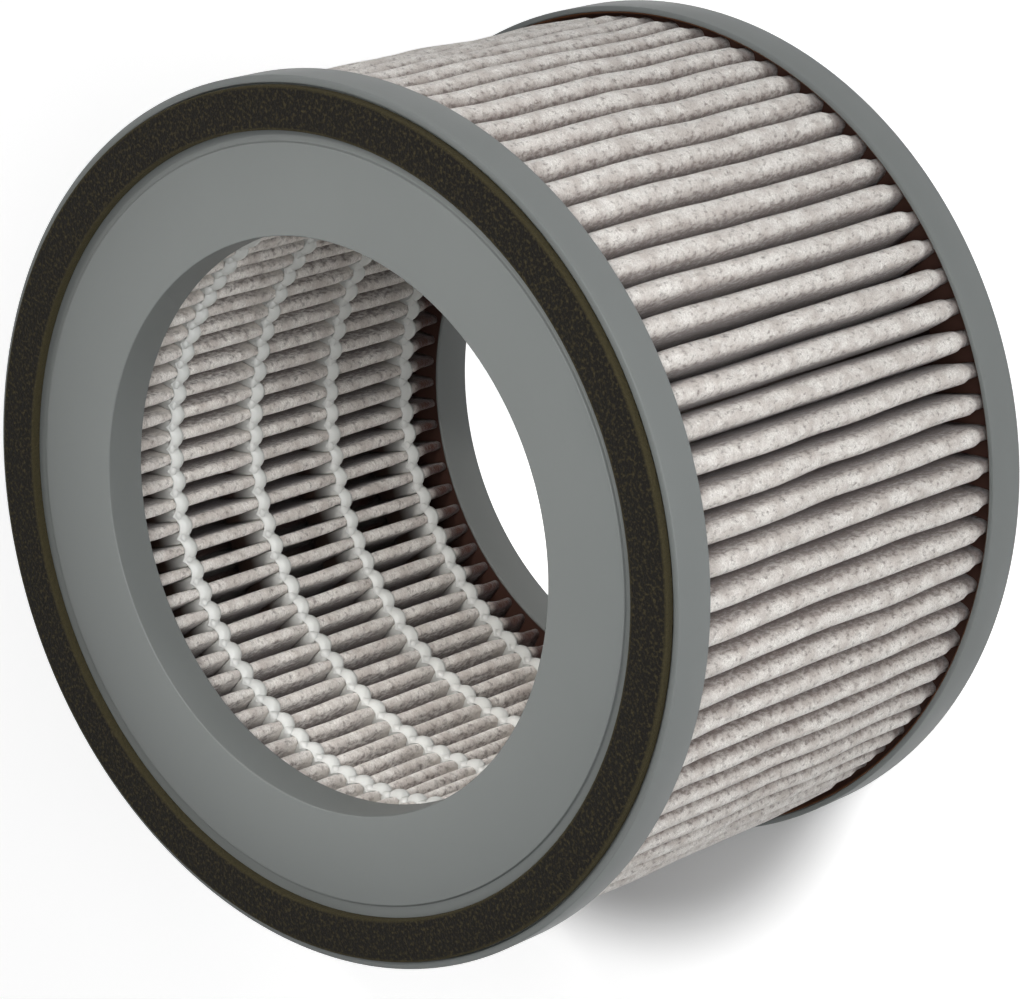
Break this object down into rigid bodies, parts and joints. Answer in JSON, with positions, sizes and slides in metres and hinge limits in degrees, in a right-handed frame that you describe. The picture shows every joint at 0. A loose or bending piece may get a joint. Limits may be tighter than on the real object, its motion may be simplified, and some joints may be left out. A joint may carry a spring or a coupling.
{
  "type": "air purifier filter",
  "caption": "Cylindrical pleated air filter with two flat ring end caps, an open middle, glue beads on the inner folds and a foam gasket on one cap.",
  "frame": {"origin": "centre of the rear cap's outer face, on which the filter stands", "axes": "+Z along the filter's axis, from the rear cap to the front cap with the gasket; the sheet's seam lies towards -Y"},
  "size_m": [0.19, 0.19, 0.12],
  "materials": {
    "cap_plastic": "fine satin moulded grey plastic",
    "filter_media": "off-white nonwoven with fine grey carbon flecks",
    "gasket_foam": "dark brown-black open-cell foam",
    "hot_melt": "translucent white hot-melt adhesive",
    "potting_adhesive": "amber-brown cast adhesive"
  },
  "bodies": {
    "root": {"front_cap": "cap_plastic", "rear_cap": "cap_plastic", "pleated_media": "filter_media", "seam_adhesive": "hot_melt", "foam_gasket": "gasket_foam", "glue_bead_1": "hot_melt", "glue_bead_2": "hot_melt", "glue_bead_3": "hot_melt", "glue_bead_4": "hot_melt", "front_potting": "potting_adhesive", "rear_potting": "potting_adhesive"}
  },
  "joints": []
}
